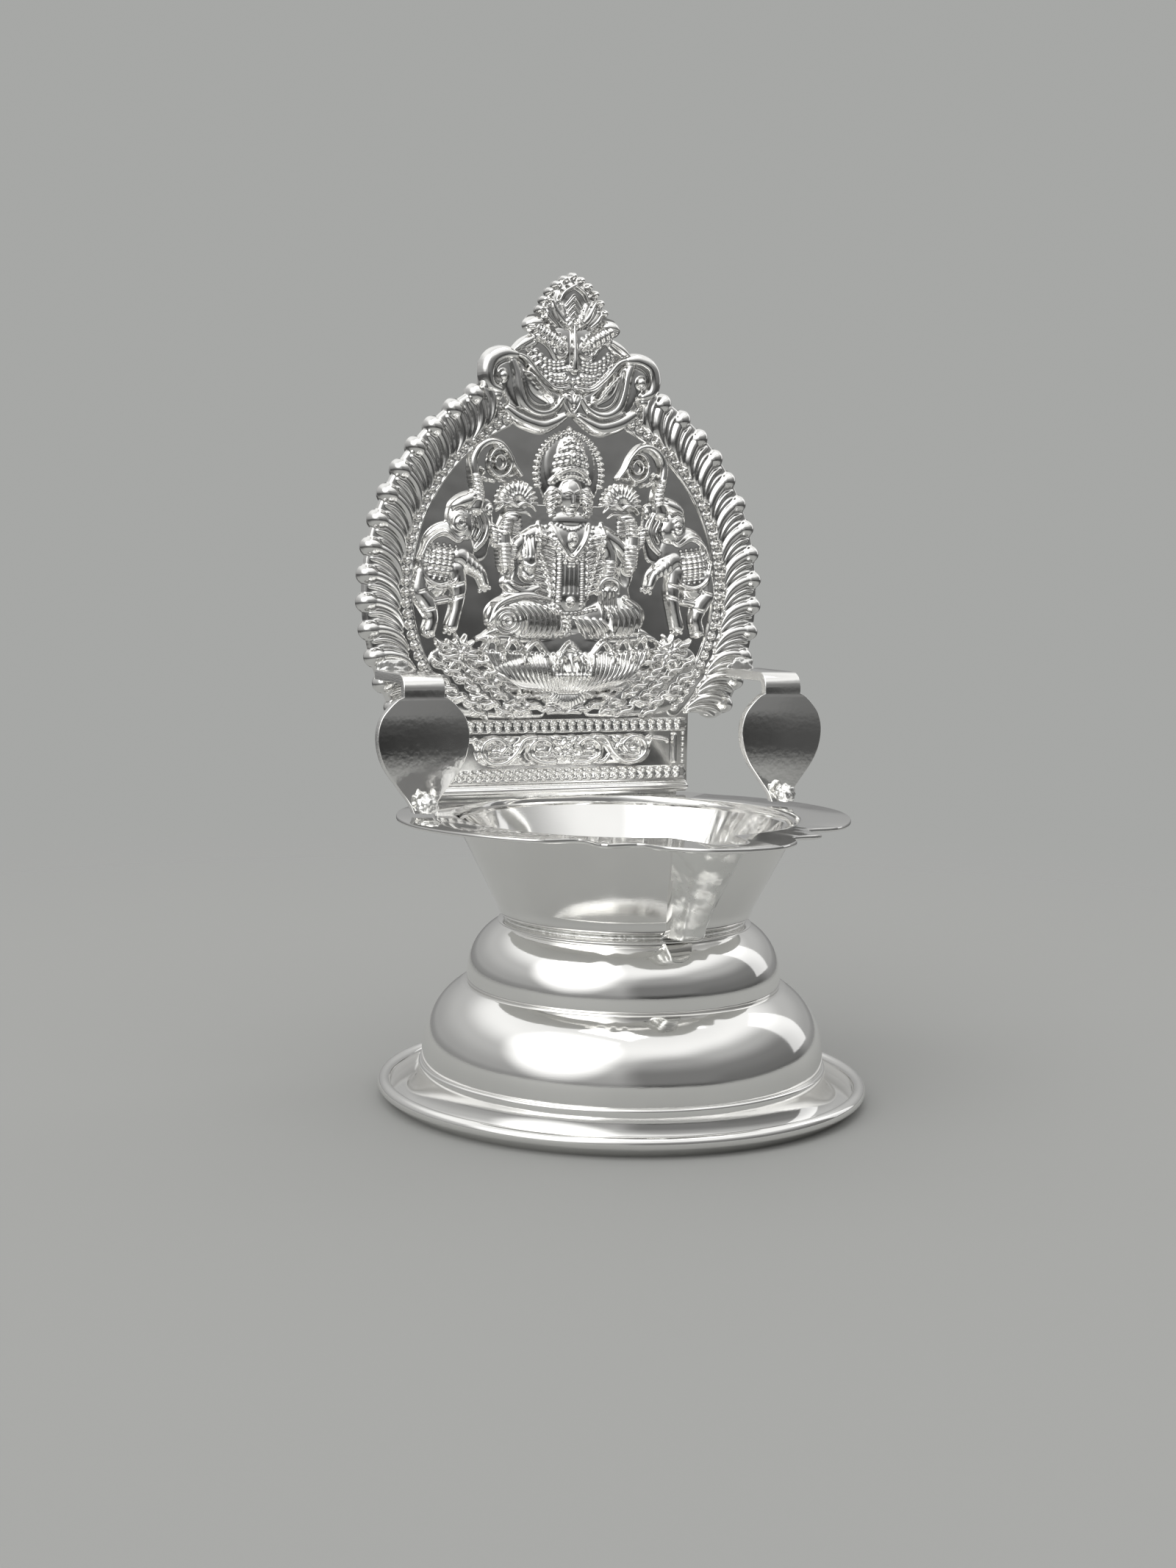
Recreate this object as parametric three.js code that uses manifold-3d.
// A silver oil lamp of the kind lit in front of a household shrine. A hollow foot of three spun
// shells carries a pressed oil cup with a spout for the wick and a flat petal-edged rim. Two bent
// leaf brackets stand on the rim and stay the arched back plate, which is pressed with a seated
// goddess on a lotus between two elephants, under a leaf finial and over a plinth with a frieze.
// Millimetres, +Z up. The spout points to -Y, and the back plate faces the same way.
import * as THREE from 'three';
import { mergeVertices } from 'three/addons/utils/BufferGeometryUtils.js';
import Module from 'manifold-3d';

const wasm = await Module();
wasm.setup();

// Driving dimensions
const sheet = 0.6; // spun and pressed silver sheet
const solderGap = 0.3; // clearance where one piece is soldered to the next
const hairGap = 0.02; // clearance where solder lies on the rim

const dishRadius = 30; // outside of the foot's rolled lip
const dishLipBead = 0.8; // radius of the rolled lip's section
const dishLipHeight = 1.7; // centre of that section
const dishRestInner = 26.4; // the flat ring that the lamp stands on
const dishRestOuter = 28.3;
const dishCollarRadius = 25; // where the dish turns up to carry the dome
const dishCollarHeight = 0.8; // its upright edge
const dishHeight = 4.2;

const domeRadius = 24.6;
const domeTopRadius = 19.2;
const domeHeight = 9.6;
const domeWall = 1.2; // height of the upright wall at the dome's lower edge
const domeLedge = 2; // width of the flat ledge under the neck
const shoulderReach = 2.6; // how far a dome's curve would run on inside its ledge
const shoulderCrown = 1.08; // and how far over it, as a share of the dome's height
const shoulderTurn = 62; // degrees of that curve which the dome takes

const neckRadius = 19.2;
const neckTopRadius = 14.8;
const neckHeight = 7.4;
const neckWall = 0.9;
const neckLedge = 3;
const solderWidth = 0.9; // of the ring of solder under the cup

const cupFloorRadius = 15.6;
const cupMouthRadius = 21;
const cupHeight = 12;
const cupCorner = 1.4; // rounding between the cup's floor and wall
const spoutFloorReach = 16.8; // from the axis to the spout's keel, at the cup's floor
const spoutReach = 27; // and at its mouth
const spoutHalfWidth = 5;
const spoutFloorHalfWidth = 1.9;
const spoutNose = 1.3; // half width of the spout's rounded nose
const noseShare = 0.6; // the most of a narrow section's half width that the nose takes

const rimThickness = 0.5;
const rimNose = 4.4; // how far the rim reaches past the spout's mouth
const rimMargin = 3.5; // and past the middle of each leaf bracket
const rimBack = 1; // and past the back plate
const lap = 0.2; // how far two pieces of one sheet share metal

const leafY = 5.2; // front face of each leaf, behind the axis
const leafThickness = 1.2;
const leafWidth = 11.6;
const leafHeight = 16.6; // from the rim to the top of the bend
const leafWidest = 9.5; // height of the leaf's widest part
const leafNeck = 5.2;
const leafFoot = 2.4;
const bendRadius = 1.9; // outside of the bend over which the arm turns back
const armInset = 0.4; // from the second lowest ball of the border in to the middle of the arm
const armSolderDepth = 1;
const footSolderRadius = 1.25;
const plinthSolderSize = 1.1;
const plinthSolderMargin = 1; // between its end and the plinth's side

const plateFront = 19.4; // front face of the back plate's ground, behind the axis
const plateGround = 0.6; // its thickness
const plinthHalfWidth = 18;
const plinthHeight = 10;
const mouldingFoot = 0.3; // the plain moulding starts this far over the plinth's foot
const mouldingHeight = 1.2;
const mouldingRise = 1.2; // from the plate's ground to its front
const railHeight = 1.5; // of a double row of beads
const railRise = 0.8;
const railMargin = 0.3; // between a rail's end and the plinth's side
const lowerRailClear = 0.45; // between the moulding and the lower rail
const upperRailDrop = 1; // from the plinth's top to the middle of the upper rail
const friezeMargin = 1.5;
const friezeRise = 0.4;

const archRadius = 28.9; // to the balls at the tips of the border's lobes
const archSpread = 1.8; // each half of the border is centred this far across the middle
const archClear = 1.65; // from the plinth's top up to the centres of the lowest balls
const lobeCount = 14; // on each side
const lobeFirst = 59; // degrees over the horizontal
const lobeLast = -30;
const lobeBall = 1.45;
const lobeLength = 5.2;
const lobeWidth = 2.3;
const lobeSwirl = 24; // degrees by which a lobe leans from the radius
const lobeRise = 1.7;
const borderRise = 0.5; // of the band that the lobes stand on

const ringInset = 5.9; // from the balls in to the ring of beads
const ringSpread = 0.8;
const ringLift = 1; // of the ring's centre over the border's
const ringWidth = 1.2;
const ringFrom = -44;
const ringTo = 66;
const ringRise = 0.8;

const frameGap = 0.3; // left between neighbouring parts of the relief

const turns = 40; // steps around a spun piece

// Sizes and heights that follow
const lobeAngle = (i) => lobeFirst + ((lobeLast - lobeFirst) * i) / (lobeCount - 1);
const archHeight = plinthHeight + archClear - archRadius * Math.sin(THREE.MathUtils.degToRad(lobeLast));
const ringRadius = archRadius - ringInset;
const ringHeight = archHeight + ringLift;
const armAngle = THREE.MathUtils.degToRad(lobeAngle(lobeCount - 2));
const leafX = archRadius * Math.cos(armAngle) - archSpread - armInset; // middle of each leaf, to its side
const rimSide = leafX + rimMargin;
const rimTip = spoutReach + rimNose; // from the axis to the rim's tip in front of the spout

const domeZ = dishHeight + solderGap;
const neckZ = domeZ + domeHeight + solderGap;
const cupZ = neckZ + neckHeight + solderGap;
const rimZ = cupZ + cupHeight;
const rimTop = rimZ + rimThickness;
const plateZ = rimTop + solderGap;

const silver = (color, roughness) => new THREE.MeshStandardMaterial({ color, roughness, metalness: 1 });
const finishes = {
  spun: silver(0xebe9e4, 0.12),
  relief: silver(0xe2e1de, 0.2),
  leaf: silver(0xdddcd8, 0.16),
  solder: silver(0xf0efeb, 0.3),
};

// Solids

function solidOf(geometry) {
  const bare = geometry.clone();
  bare.deleteAttribute('normal');
  bare.deleteAttribute('uv');
  const merged = mergeVertices(bare);
  return new wasm.Manifold(new wasm.Mesh({
    numProp: 3,
    vertProperties: new Float32Array(merged.attributes.position.array),
    triVerts: new Uint32Array(merged.index.array),
  }));
}

function geometryOf(solid) {
  const mesh = solid.getMesh();
  const geometry = new THREE.BufferGeometry();
  geometry.setAttribute('position', new THREE.BufferAttribute(mesh.vertProperties, mesh.numProp));
  geometry.setIndex(new THREE.BufferAttribute(mesh.triVerts, 1));
  return geometry;
}

function union(geometries) {
  return geometries.map(solidOf).reduce((sum, next) => sum.add(next));
}

// A closed body from level rings of equal length, the first and last ring being filled in flat.
function bodyOfRings(rings) {
  const count = rings[0].length;
  const positions = rings.flat().flatMap((p) => [p.x, p.y, p.z]);
  const indices = [];
  for (let r = 0; r + 1 < rings.length; r += 1) {
    for (let i = 0; i < count; i += 1) {
      const a = r * count + i;
      const b = r * count + ((i + 1) % count);
      indices.push(a, b, b + count, a, b + count, a + count);
    }
  }
  const last = (rings.length - 1) * count;
  for (const [ring, start, flip] of [[rings[0], 0, true], [rings.at(-1), last, false]]) {
    const flat = ring.map((p) => new THREE.Vector2(p.x, p.y));
    for (const [a, b, c] of THREE.ShapeUtils.triangulateShape(flat, [])) {
      indices.push(start + a, start + (flip ? c : b), start + (flip ? b : c));
    }
  }
  const geometry = new THREE.BufferGeometry();
  geometry.setAttribute('position', new THREE.Float32BufferAttribute(positions, 3));
  geometry.setIndex(indices);
  return geometry;
}

// Points of an ellipse's arc in the (radius, height) plane, between two angles in degrees.
function arc(centreR, centreZ, radiusR, radiusZ, from, to, steps) {
  return Array.from({ length: steps + 1 }, (_, i) => {
    const angle = THREE.MathUtils.degToRad(from + ((to - from) * i) / steps);
    return new THREE.Vector2(centreR + radiusR * Math.cos(angle), centreZ + radiusZ * Math.sin(angle));
  });
}

// A line of sheet metal moved sideways by a distance, towards its left as it is drawn.
function offset(line, distance) {
  return line.map((p, i) => {
    const before = line[Math.max(i - 1, 0)];
    const after = line[Math.min(i + 1, line.length - 1)];
    const along = after.clone().sub(before).normalize();
    return new THREE.Vector2(p.x - along.y * distance, p.y + along.x * distance);
  });
}

function turned(outline) {
  const closed = [...outline, outline[0].clone()];
  const geometry = new THREE.LatheGeometry(closed, turns);
  return geometryOf(solidOf(geometry.rotateX(Math.PI / 2)));
}

function extruded(shape, depth, curveSegments = 6) {
  return new THREE.ExtrudeGeometry(shape, { depth, bevelEnabled: false, curveSegments });
}

// Foot

function footDish() {
  const beadR = dishRadius - dishLipBead;
  const coveR = dishRestInner + sheet / 2;
  const coveZ = dishHeight - dishCollarHeight;
  const inside = dishRestInner - dishCollarRadius + sheet;
  return turned([
    new THREE.Vector2(dishRestOuter, 0),
    ...arc(beadR, dishLipHeight, dishLipBead, dishLipBead, -50, 190, 8),
    new THREE.Vector2(dishRestOuter, sheet),
    ...arc(coveR, coveZ, coveR - dishCollarRadius, coveZ - sheet, -90, -180, 5),
    new THREE.Vector2(dishCollarRadius, dishHeight),
    new THREE.Vector2(dishCollarRadius - sheet, dishHeight),
    ...arc(dishRestInner, coveZ, inside, coveZ, -180, -90, 5),
  ]);
}

// A spun dome: an upright wall, a rounded shoulder and a flat ledge for the piece above it.
function dome(radius, topRadius, z, height, wall, ledge) {
  const spread = radius - topRadius + shoulderReach;
  const crown = (height - wall) * shoulderCrown;
  const line = [
    new THREE.Vector2(radius, z),
    ...arc(radius - spread, z + wall, spread, crown, 0, shoulderTurn, 6),
    new THREE.Vector2(topRadius + solderGap, z + height),
    new THREE.Vector2(topRadius - ledge, z + height),
  ];
  return turned([...line, ...offset(line, sheet).reverse()]);
}

// A ring of solder between two pieces that stand on each other.
function solderRing(radius, z) {
  return turned([
    new THREE.Vector2(radius - solderWidth, z),
    new THREE.Vector2(radius, z),
    new THREE.Vector2(radius, z + solderGap),
    new THREE.Vector2(radius - solderWidth, z + solderGap),
  ]);
}

// Oil cup

// A level outline of the cup: a circle drawn out to a nose on the -Y side.
function cupOutline(radius, reach, halfWidth, z, inset = 0) {
  const r = radius - inset;
  const half = halfWidth - inset;
  const nose = Math.min(spoutNose, half * noseShare);
  const slant = 1.5; // the sloping keel is thicker level than square to itself
  const tip = reach - inset * slant;
  const opening = Math.asin(half / r);
  const aroundSteps = 36;
  const noseSteps = 6;
  const points = [];
  for (let i = 0; i <= aroundSteps; i += 1) {
    const angle = -Math.PI / 2 + opening + ((2 * Math.PI - 2 * opening) * i) / aroundSteps;
    points.push(new THREE.Vector3(r * Math.cos(angle), r * Math.sin(angle), z));
  }
  const depth = Math.min(nose, (tip - r) * noseShare);
  for (let i = 0; i <= noseSteps; i += 1) {
    const angle = Math.PI + (Math.PI * i) / noseSteps;
    points.push(new THREE.Vector3(nose * Math.cos(angle), depth - tip + depth * Math.sin(angle), z));
  }
  return points;
}

function cupSection(t, inset = 0) {
  const { lerp } = THREE.MathUtils;
  return cupOutline(
    lerp(cupFloorRadius, cupMouthRadius, t),
    lerp(spoutFloorReach, spoutReach, t ** 1.1),
    lerp(spoutFloorHalfWidth, spoutHalfWidth, t),
    cupZ + cupCorner + (cupHeight - cupCorner) * t,
    inset,
  );
}

// The rim's edge on one side, from beside the tip to the back: hundredths of its reach to the side
// and of its reach to the front.
const rimEdge = [
  [16, 97], [29, 87], [35, 76], [49, 74], [52, 60], [68, 57], [82, 45], [93, 29],
  [100, 10], [100, -10], [95, -27], [86, -43], [74, -55],
];

function rimShape() {
  const back = plateFront + plateGround + rimBack;
  const side = (sign) => rimEdge.map(([across, front]) => new THREE.Vector2(
    (sign * across * rimSide) / 100,
    (-front * rimTip) / 100,
  ));
  const shape = new THREE.Shape();
  shape.moveTo(0, -rimTip);
  shape.splineThru(side(1));
  shape.lineTo(plinthHalfWidth + rimBack, back);
  shape.lineTo(-plinthHalfWidth - rimBack, back);
  const [first, ...rest] = side(-1).reverse();
  shape.lineTo(first.x, first.y);
  shape.splineThru([...rest, new THREE.Vector2(0, -rimTip)]);
  return shape;
}

function oilCup() {
  const outer = [];
  const inner = [];
  const cornerSteps = 3;
  const wallSteps = 4;
  for (let i = 0; i < cornerSteps; i += 1) {
    const angle = (Math.PI / 2) * (i / cornerSteps);
    const inset = cupCorner * (1 - Math.sin(angle));
    const z = cupZ + cupCorner * (1 - Math.cos(angle));
    outer.push(cupOutline(cupFloorRadius - inset, spoutFloorReach - inset, spoutFloorHalfWidth, z));
  }
  for (let i = 0; i <= wallSteps; i += 1) {
    outer.push(cupSection(i / wallSteps));
    inner.unshift(cupSection(i / wallSteps, sheet));
  }
  inner.push(cupOutline(cupFloorRadius - cupCorner, spoutFloorReach - cupCorner, spoutFloorHalfWidth,
    cupZ + sheet, sheet));
  const bowl = solidOf(bodyOfRings([...outer, ...inner]));
  const flange = rimShape();
  const mouth = cupSection(1, sheet);
  flange.holes.push(new THREE.Path(mouth.map((p) => new THREE.Vector2(p.x, p.y))));
  const rim = solidOf(extruded(flange, rimThickness + lap, 3).translate(0, 0, rimZ - lap));
  return geometryOf(bowl.add(rim));
}

// Leaf brackets

function leafShape() {
  const half = leafWidth / 2;
  const neck = leafNeck / 2;
  const top = leafHeight - bendRadius;
  const over = (share) => leafWidest + (top - leafWidest) * share;
  const shape = new THREE.Shape();
  shape.moveTo(leafFoot / 2, 0);
  shape.bezierCurveTo(half * 0.66, leafWidest * 0.4, half, leafWidest * 0.6, half, leafWidest);
  shape.bezierCurveTo(half, over(0.56), neck * 1.3, over(0.7), neck, top);
  shape.lineTo(-neck, top);
  shape.bezierCurveTo(-neck * 1.3, over(0.7), -half, over(0.56), -half, leafWidest);
  shape.bezierCurveTo(-half, leafWidest * 0.6, -half * 0.66, leafWidest * 0.4, -leafFoot / 2, 0);
  return shape;
}

// The bend and the arm behind it, seen from the side: x to the front, y up.
function armShape(length) {
  const inside = bendRadius - leafThickness;
  const shape = new THREE.Shape();
  shape.moveTo(0, -lap);
  shape.lineTo(0, 0);
  shape.absarc(-bendRadius, 0, bendRadius, 0, Math.PI / 2, false);
  shape.lineTo(-length, bendRadius);
  shape.lineTo(-length, inside);
  shape.lineTo(-bendRadius, inside);
  shape.absarc(-bendRadius, 0, inside, Math.PI / 2, 0, true);
  shape.lineTo(-leafThickness, -lap);
  shape.closePath();
  return shape;
}

const armRest = plateFront - lobeRise; // face of the lobes that the arms are soldered to
const armLength = armRest - leafY - armSolderDepth - 2 * solderGap;

function leafBracket() {
  const blade = extruded(leafShape(), leafThickness, 7);
  blade.rotateX(Math.PI / 2).translate(0, leafThickness, 0);
  const arm = extruded(armShape(armLength), leafNeck, 5);
  arm.rotateX(Math.PI / 2).rotateZ(-Math.PI / 2);
  arm.translate(leafNeck / 2, 0, leafHeight - bendRadius);
  return geometryOf(union([blade, arm]));
}

// The bead of solder in front of a leaf's foot.
function footSolder() {
  const flatter = { y: 0.85, z: 0.9 };
  const blob = new THREE.SphereGeometry(footSolderRadius, 10, 6).scale(1, flatter.y, flatter.z);
  const front = flatter.y * footSolderRadius + solderGap;
  return blob.translate(0, -front, flatter.z * footSolderRadius + hairGap);
}

// The pad of solder between an arm's end and the back plate.
function armSolder() {
  const fillet = 0.7; // over and under the arm
  return new THREE.BoxGeometry(leafNeck * 0.8, armSolderDepth, leafThickness + 2 * fillet);
}

// Back plate, drawn in its own frame: x to the right, y up from the plinth's foot, z forward

// The point of the border at an angle in degrees, and its mirror image on the other side.
function onArch(degrees, radius, side) {
  const angle = THREE.MathUtils.degToRad(degrees);
  return [
    side * (radius * Math.cos(angle) - archSpread),
    archHeight + radius * Math.sin(angle),
  ];
}

// Figures and finial are drawn to fit the field inside the bead ring: in hundredths of its radius,
// across from the middle and up from the plinth's top.
const unit = ringRadius / 100;
const onField = ([x, y]) => [x * unit, plinthHeight + y * unit];

// The edge of the volutes and of the finial.
const finialEdge = [
  [51, 192], [46, 198], [38, 197], [36, 204], [28, 210], [29, 219], [21, 224],
  [18, 231], [14, 239], [7, 246], [0, 248],
];

// One side of the plate's edge, from the plinth's foot to the top of the finial.
function plateEdge() {
  const lowest = onArch(lobeLast, archRadius, 1);
  const edge = [
    [plinthHalfWidth, 0],
    [plinthHalfWidth, plinthHeight],
    [(plinthHalfWidth + lowest[0]) / 2, plinthHeight + archClear * 0.7],
  ];
  for (let i = lobeCount - 1; i >= 0; i -= 1) {
    const degrees = lobeAngle(i);
    for (const turn of [-80, -30, 30, 80]) {
      const out = THREE.MathUtils.degToRad(degrees + turn);
      const [x, y] = onArch(degrees, archRadius, 1);
      edge.push([x + lobeBall * Math.cos(out), y + lobeBall * Math.sin(out)]);
    }
  }
  return [...edge, ...finialEdge.map(onField)];
}

function plateShape() {
  const right = plateEdge();
  const left = right.slice(0, -1).reverse().map(([x, y]) => [-x, y]);
  return new THREE.Shape([...right, ...left].map(([x, y]) => new THREE.Vector2(x, y)));
}

// A rounded mass of the relief: its middle, its half width, half height and rise, and its turn in
// degrees. A grow value makes the same mass larger, to cut a neighbour by.
function boss([x, y, radiusX, radiusY, rise, turn = 0], grow = 0) {
  const geometry = new THREE.SphereGeometry(1, 8, 6);
  geometry.rotateX(Math.PI / 2);
  geometry.scale(radiusX + grow, radiusY + grow, rise + grow);
  geometry.rotateZ(THREE.MathUtils.degToRad(turn));
  return geometry.translate(x, y, plateGround);
}

const mirrored = ([x, y, radiusX, radiusY, rise, turn = 0]) => [-x, y, radiusX, radiusY, rise, -turn];

// A table of masses that is drawn in hundredths of the field's radius, at its real size.
const drawn = (table) => table.map(([x, y, radiusX, radiusY, rise, turn = 0]) => [
  ...onField([x, y]), radiusX * unit, radiusY * unit, rise * unit, turn,
]);

// What stands in front of the plate's ground.
function raised(solid) {
  const reach = 200;
  const under = new THREE.BoxGeometry(reach, reach, reach).translate(0, 0, plateGround - reach / 2);
  return solid.subtract(solidOf(under));
}

// The masses and bands joined, kept clear of the masses and bands that lie beside them.
function relief(masses, { bands = [], besideMasses = [], besideBands = [] } = {}) {
  const whole = union([...masses.map((mass) => boss(mass)), ...bands]);
  const beside = [...besideMasses.map((mass) => boss(mass, frameGap)), ...besideBands];
  return geometryOf(raised(beside.length ? whole.subtract(union(beside)) : whole));
}

// A flat band along the arch between two radii, on one side of the plate.
function archBand({ side, spread, height, inner, outer, from, to, rise, steps }) {
  const start = THREE.MathUtils.degToRad(from);
  const end = THREE.MathUtils.degToRad(to);
  const shape = new THREE.Shape();
  shape.absarc(-spread, height, outer, start, end, false);
  shape.absarc(-spread, height, inner, end, start, true);
  shape.closePath();
  const band = extruded(shape, rise, steps);
  if (side > 0) return band.translate(0, 0, plateGround);
  return band.rotateY(Math.PI).translate(0, 0, plateGround + rise);
}

// The ring of beads inside the border. A grow value makes it wider and taller, as for a mass.
function beadRing(side, grow = 0) {
  const growAngle = THREE.MathUtils.radToDeg(grow / ringRadius);
  return archBand({
    side,
    spread: ringSpread,
    height: ringHeight,
    inner: ringRadius - ringWidth / 2 - grow,
    outer: ringRadius + ringWidth / 2 + grow,
    from: ringFrom - growAngle,
    to: ringTo + growAngle,
    rise: grow ? 2 * lobeRise : ringRise,
    steps: 16,
  });
}

function border(side) {
  const lobes = [];
  for (let i = 0; i < lobeCount; i += 1) {
    const degrees = lobeAngle(i);
    const [x, y] = onArch(degrees, archRadius, side);
    const lean = THREE.MathUtils.degToRad(degrees + lobeSwirl);
    const middle = lobeLength / 2 - 0.3;
    const turn = side * (degrees + lobeSwirl);
    lobes.push([x, y, lobeBall, lobeBall, lobeRise]);
    lobes.push([x - side * middle * Math.cos(lean), y - middle * Math.sin(lean),
      lobeLength / 2, lobeWidth / 2, lobeRise * 0.75, turn]);
  }
  const base = archBand({
    side,
    spread: archSpread,
    height: archHeight,
    inner: archRadius - lobeLength + 0.6,
    outer: archRadius,
    from: lobeLast,
    to: lobeFirst,
    rise: borderRise,
    steps: 16,
  });
  return relief(lobes, {
    bands: [base],
    besideMasses: side > 0 ? scroll : scroll.map(mirrored),
    besideBands: [beadRing(side, frameGap)],
  });
}

const face = drawn([
  [0, 126, 11, 15, 13], // head
  [0, 143, 10, 14, 11], // crown
  [0, 136, 21, 25, 4], // halo
]);

const body = drawn([
  [0, 93, 16, 20, 13], // chest
  [0, 72, 13, 16, 12], // waist
  [0, 57, 37, 12, 13], // crossed legs
  ...[1, -1].flatMap((side) => [
    [side * 17, 100, 7, 8, 11], // shoulder
    [side * 26, 105, 5, 12, 9, side * 22], // raised arm
    [side * 22, 83, 6, 16, 10, side * 8], // lowered arm
    [side * 37, 56, 13, 11, 13], // knee
  ]),
]);

const handLotus = drawn([[31, 124, 9, 9, 8]]);

const seat = drawn([
  [0, 30, 50, 14, 13],
  [0, 18, 35, 11, 11],
  [0, 10, 11, 7, 7], // fan of petals under the seat
]);

const elephant = drawn([
  [75, 90, 14, 20, 9, 24], // body under its blanket
  [62, 110, 11, 13, 10], // head
  [55, 130, 5, 17, 7, 10], // trunk
  [46, 144, 8, 6, 7], // its curl
  [55, 83, 6, 17, 7, -47], // lifted foreleg
  [70, 65, 6, 14, 7],
  [82, 65, 6, 15, 7],
]);

const rosette = drawn([[64, 37, 10, 9, 7]]);

const foliage = drawn([
  [53, 13, 17, 7, 4],
  [35, 7, 17, 5, 4],
  [68, 21, 11, 8, 4],
]);

const scroll = drawn([
  [45, 189, 9, 9, 8], // volute
  [43, 177, 5, 5, 7],
  [35, 177, 5, 15, 6, 12],
  [24, 167, 14, 7, 6, 14], // ogee band
  [10, 167, 9, 4, 6, -24],
]);

const mask = drawn([
  [0, 203, 5, 17, 10], // long nose
  [0, 185, 17, 9, 7],
  ...[1, -1].flatMap((side) => [
    [side * 11, 204, 7, 7, 8], // eye
    [side * 21, 197, 10, 7, 7, side * -24],
    [side * 20, 185, 10, 5, 6, side * 40],
  ]),
]);

const crest = drawn([
  [0, 229, 11, 16, 8],
  ...[1, -1].flatMap((side) => [
    [side * 21, 217, 5, 5, 7],
    [side * 13, 222, 5, 10, 6, side * 20],
  ]),
]);

// A straight band across the plinth, between two heights.
function plinthBand(margin, bottom, top, rise) {
  const band = new THREE.BoxGeometry(2 * (plinthHalfWidth - margin), top - bottom, rise);
  return band.translate(0, (top + bottom) / 2, plateGround + rise / 2);
}

const mouldingTop = mouldingFoot + mouldingHeight;
const lowerRail = mouldingTop + lowerRailClear;
const upperRail = plinthHeight - upperRailDrop - railHeight / 2;

const beadRail = (bottom) => plinthBand(railMargin, bottom, bottom + railHeight, railRise);

function frieze() {
  const bottom = lowerRail + railHeight + frameGap;
  const top = upperRail - frameGap;
  const middle = (bottom + top) / 2;
  const half = (top - bottom) / 2;
  const flower = [0, middle, half * 0.95, half * 0.9, friezeRise * 3];
  const scrolls = [1, -1].flatMap((side) => [1 / 3, 2 / 3].map((share) => (
    [side * plinthHalfWidth * share, middle, plinthHalfWidth / 6, half * 0.8, friezeRise * 2.5]
  )));
  return relief([flower, ...scrolls], { bands: [plinthBand(friezeMargin, bottom, top, friezeRise)] });
}

function plinthMoulding() {
  return plinthBand(frameGap, mouldingFoot, mouldingTop, mouldingRise);
}

// The fillet of solder behind the plinth's foot.
function plinthSolder() {
  const shape = new THREE.Shape([
    new THREE.Vector2(0, 0),
    new THREE.Vector2(plinthSolderSize, 0),
    new THREE.Vector2(0, plinthSolderSize),
  ]);
  return extruded(shape, 2 * (plinthHalfWidth - plinthSolderMargin));
}

// Assembly

function named(name, geometry, material, ...position) {
  const mesh = new THREE.Mesh(geometry, material);
  mesh.name = name;
  mesh.position.set(...(position.length ? position : [0, 0, 0]));
  return mesh;
}

const diya = new THREE.Group();
// The origin is under the middle of the lamp, which reaches further forward than back.
diya.position.y = (rimTip - dishRadius) / 2;

diya.add(
  named('foot_dish', footDish(), finishes.spun),
  named('foot_dome', dome(domeRadius, domeTopRadius, domeZ, domeHeight, domeWall, domeLedge),
    finishes.spun),
  named('foot_neck', dome(neckRadius, neckTopRadius, neckZ, neckHeight, neckWall, neckLedge),
    finishes.spun),
  named('cup_solder', solderRing(neckTopRadius, neckZ + neckHeight), finishes.solder),
  named('oil_cup', oilCup(), finishes.spun),
);

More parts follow.
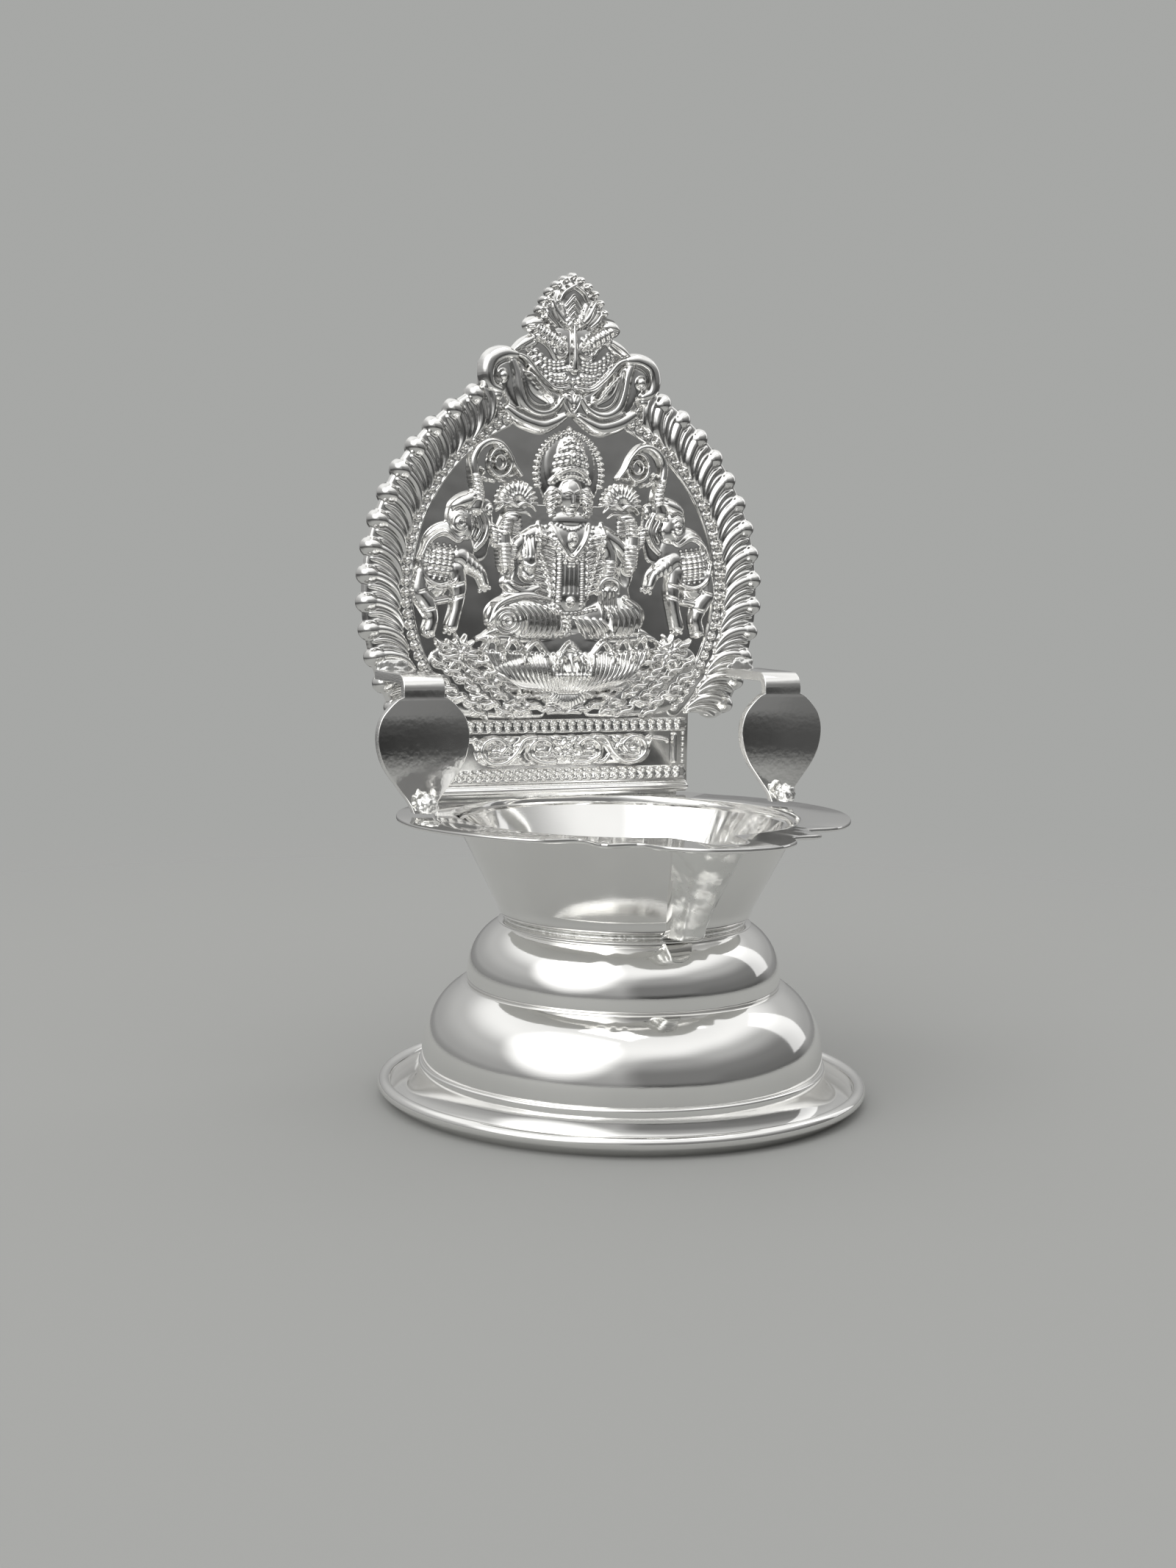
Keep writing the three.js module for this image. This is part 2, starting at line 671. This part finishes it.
for (const [name, side] of [['left', -1], ['right', 1]]) {
  const armZ = plateZ + leafHeight - leafThickness / 2;
  const solderY = armRest - solderGap - armSolderDepth / 2;
  diya.add(
    named(`${name}_leaf_bracket`, leafBracket(), finishes.leaf, side * leafX, leafY, plateZ),
    named(`${name}_foot_solder`, footSolder(), finishes.solder, side * leafX, leafY, rimTop),
    named(`${name}_arm_solder`, armSolder(), finishes.solder, side * leafX, solderY, armZ),
  );
}

const back = new THREE.Group();
back.rotation.x = Math.PI / 2;
back.position.set(0, plateFront + plateGround, plateZ);
back.add(
  named('back_plate', extruded(plateShape(), plateGround), finishes.relief),
  named('goddess_body', relief(body), finishes.relief),
  named('goddess_head', relief(face, { besideMasses: body }), finishes.relief),
  named('lotus_seat', relief(seat, { besideMasses: body }), finishes.relief),
  named('beast_mask', relief(mask), finishes.relief),
  named('crest_leaf', relief(crest, { besideMasses: mask }), finishes.relief),
  named('frieze_scrolls', frieze(), finishes.relief),
  named('upper_bead_rail', beadRail(upperRail), finishes.relief),
  named('lower_bead_rail', beadRail(lowerRail), finishes.relief),
  named('plinth_moulding', plinthMoulding(), finishes.relief),
);

for (const [name, side] of [['left', -1], ['right', 1]]) {
  const onSide = (masses) => (side > 0 ? masses : masses.map(mirrored));
  const ring = [beadRing(side, frameGap)];
  back.add(
    named(`${name}_border`, border(side), finishes.relief),
    named(`${name}_bead_ring`, beadRing(side), finishes.relief),
    named(`${name}_elephant`, relief(onSide(elephant), { besideBands: ring }), finishes.relief),
    named(`${name}_hand_lotus`, relief(onSide(handLotus), {
      besideMasses: [...body, ...face, ...onSide(elephant)],
    }), finishes.relief),
    named(`${name}_rosette`, relief(onSide(rosette), {
      besideMasses: [...seat, ...onSide(elephant)],
    }), finishes.relief),
    named(`${name}_foliage`, relief(onSide(foliage), {
      besideMasses: [...seat, ...onSide(rosette)],
      besideBands: ring,
    }), finishes.relief),
    named(`${name}_scroll`, relief(onSide(scroll), {
      besideMasses: [...mask, ...face],
      besideBands: ring,
    }), finishes.relief),
  );
}
diya.add(back);

const fillet = named('plinth_solder', plinthSolder(), finishes.solder);
fillet.rotation.set(Math.PI / 2, Math.PI / 2, 0);
fillet.position.set(plinthSolderMargin - plinthHalfWidth, plateFront + plateGround + solderGap,
  rimTop + hairGap);
diya.add(fillet);

export default diya;
